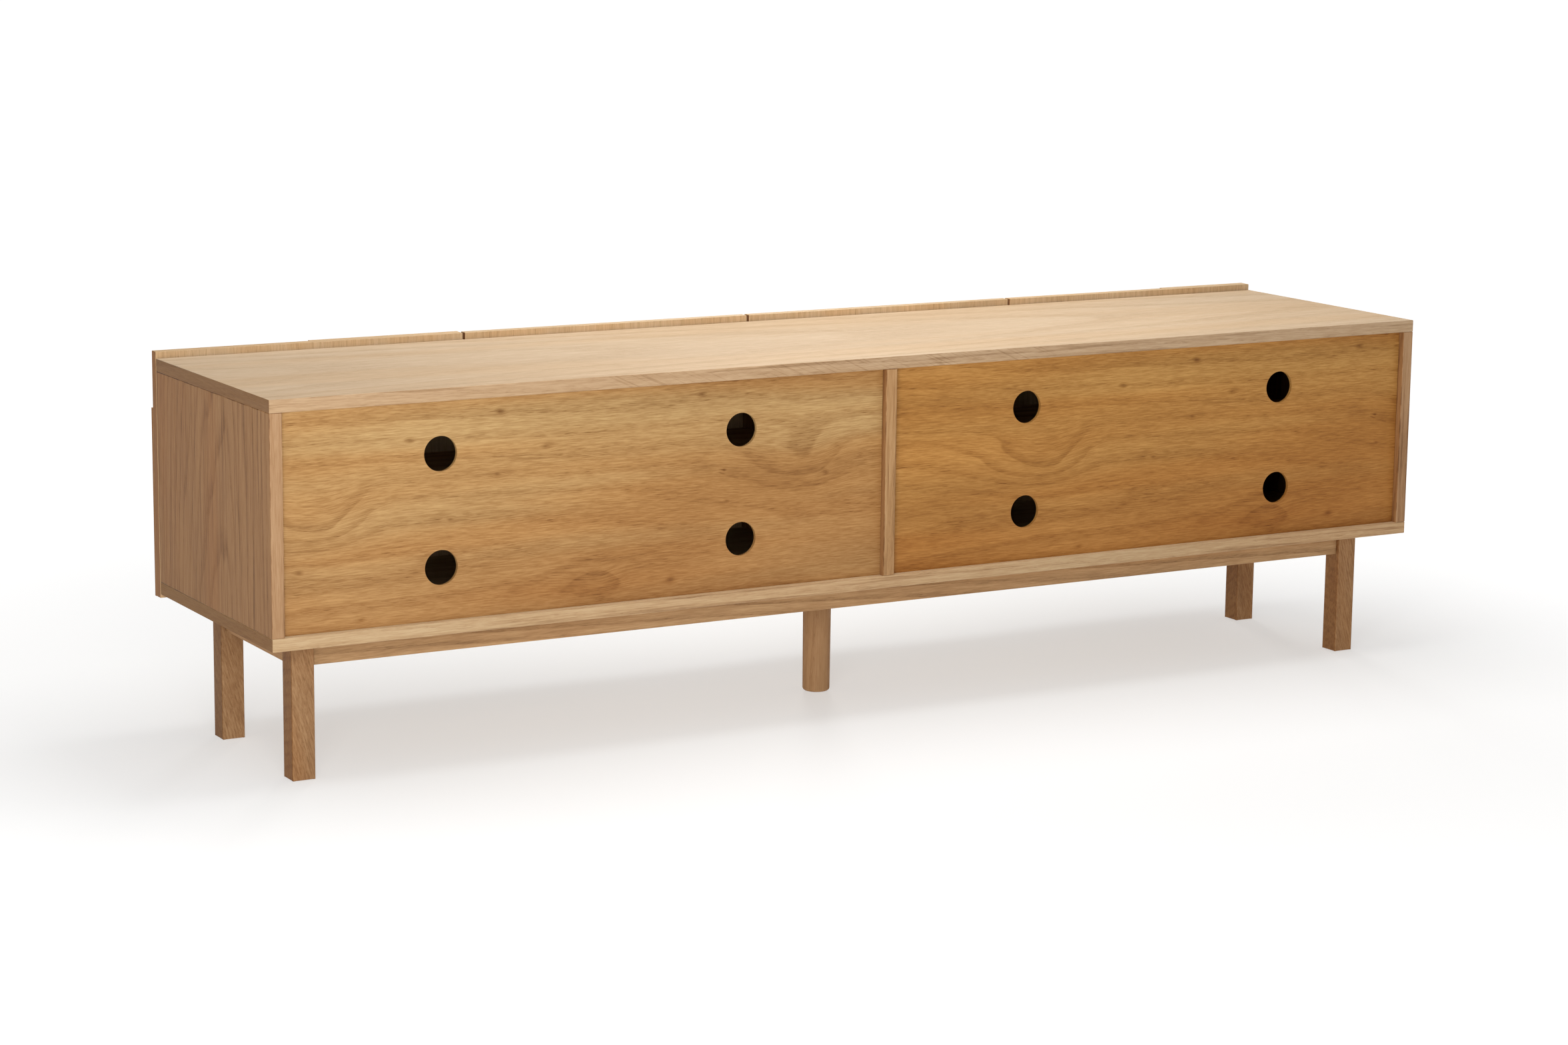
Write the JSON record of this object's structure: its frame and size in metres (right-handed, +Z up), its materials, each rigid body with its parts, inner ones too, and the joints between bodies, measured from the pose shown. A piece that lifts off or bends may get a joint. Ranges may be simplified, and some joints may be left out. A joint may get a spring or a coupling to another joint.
{
  "type": "media cabinet",
  "caption": "Long low oak media cabinet on a rail base with square legs and a round centre leg, hinged overlay doors with raised panels, and back panels with round cable holes.",
  "frame": {"origin": "on the floor, under the middle of the cabinet's overall box, doors included", "axes": "+Z up, +X along the length towards the right end as seen from the front, -Y out through the doors, +Y towards the back panels"},
  "size_m": [2, 0.47, 0.57],
  "materials": {
    "slab_oak": "matt clear-lacquered oak veneer, grain along the length",
    "upright_oak": "matt clear-lacquered oak veneer, upright grain",
    "back_oak": "satin golden oak veneer, grain along the length",
    "door_oak": "matt clear-lacquered oak veneer, upright grain",
    "shelf_oak": "matt clear-lacquered oak veneer",
    "rail_oak": "matt solid oak, grain along the rail",
    "leg_oak": "matt solid oak, upright grain",
    "beech": "plain beech",
    "steel": "nickel-plated steel",
    "zinc": "zinc-plated steel",
    "catch_plastic": "moulded plastic",
    "nylon": "nylon glide",
    "bumper_rubber": "soft clear rubber"
  },
  "bodies": {
    "root": {"top_panel": "slab_oak", "bottom_panel": "slab_oak", "side_panel_left": "upright_oak", "side_panel_right": "upright_oak", "centre_divider": "upright_oak", "back_panel_left": "back_oak", "back_panel_right": "back_oak", "shelf_left": "shelf_oak", "shelf_right": "shelf_oak", "shelf_pins": "steel", "case_dowels": "beech", "cam_locks": "zinc", "cam_bolts": "zinc", "case_screws": "zinc", "rear_rail": "rail_oak", "front_rail": "rail_oak", "side_rail_left": "rail_oak", "side_rail_right": "rail_oak", "leg_rear_left": "leg_oak", "leg_rear_right": "leg_oak", "leg_front_left": "leg_oak", "leg_front_right": "leg_oak", "centre_leg": "leg_oak", "centre_leg_plate": "steel", "centre_leg_screws": "zinc", "foot_pads": "nylon", "base_dowels": "beech", "corner_blocks": "beech", "corner_bolts": "zinc", "corner_nuts": "zinc", "base_screws": "zinc", "hinge_arms_side": "steel", "hinge_arms_divider": "steel", "hinge_plates": "steel", "hinge_plate_screws": "zinc", "magnet_catches": "catch_plastic", "door_bumpers": "bumper_rubber"},
    "door_1": {"door_1_panel": "door_oak", "door_1_raised_outer": "door_oak", "door_1_raised_inner": "door_oak", "door_1_hinge_cups": "steel", "door_1_hinge_pins": "steel", "door_1_strike_plate": "steel"},
    "door_2": {"door_2_panel": "door_oak", "door_2_raised": "door_oak", "door_2_hinge_cups": "steel", "door_2_hinge_pins": "steel", "door_2_strike_plate": "steel"},
    "door_3": {"door_3_panel": "door_oak", "door_3_raised": "door_oak", "door_3_hinge_cups": "steel", "door_3_hinge_pins": "steel", "door_3_strike_plate": "steel"},
    "door_4": {"door_4_panel": "door_oak", "door_4_raised_outer": "door_oak", "door_4_raised_inner": "door_oak", "door_4_hinge_cups": "steel", "door_4_hinge_pins": "steel", "door_4_strike_plate": "steel"}
  },
  "joints": [
    {"name": "door_1_hinge", "type": "hinge", "parent": "root", "child": "door_1", "pos_m": [-0.9935, -0.2235, 0.3845], "axis": [0, 0, -1], "range_deg": [0, 95]},
    {"name": "door_2_hinge", "type": "hinge", "parent": "root", "child": "door_2", "pos_m": [-0.0085, -0.2235, 0.3845], "axis": [0, 0, 1], "range_deg": [0, 90]},
    {"name": "door_3_hinge", "type": "hinge", "parent": "root", "child": "door_3", "pos_m": [0.0085, -0.2235, 0.3845], "axis": [0, 0, -1], "range_deg": [0, 90]},
    {"name": "door_4_hinge", "type": "hinge", "parent": "root", "child": "door_4", "pos_m": [0.9935, -0.2235, 0.3845], "axis": [0, 0, 1], "range_deg": [0, 95]}
  ]
}
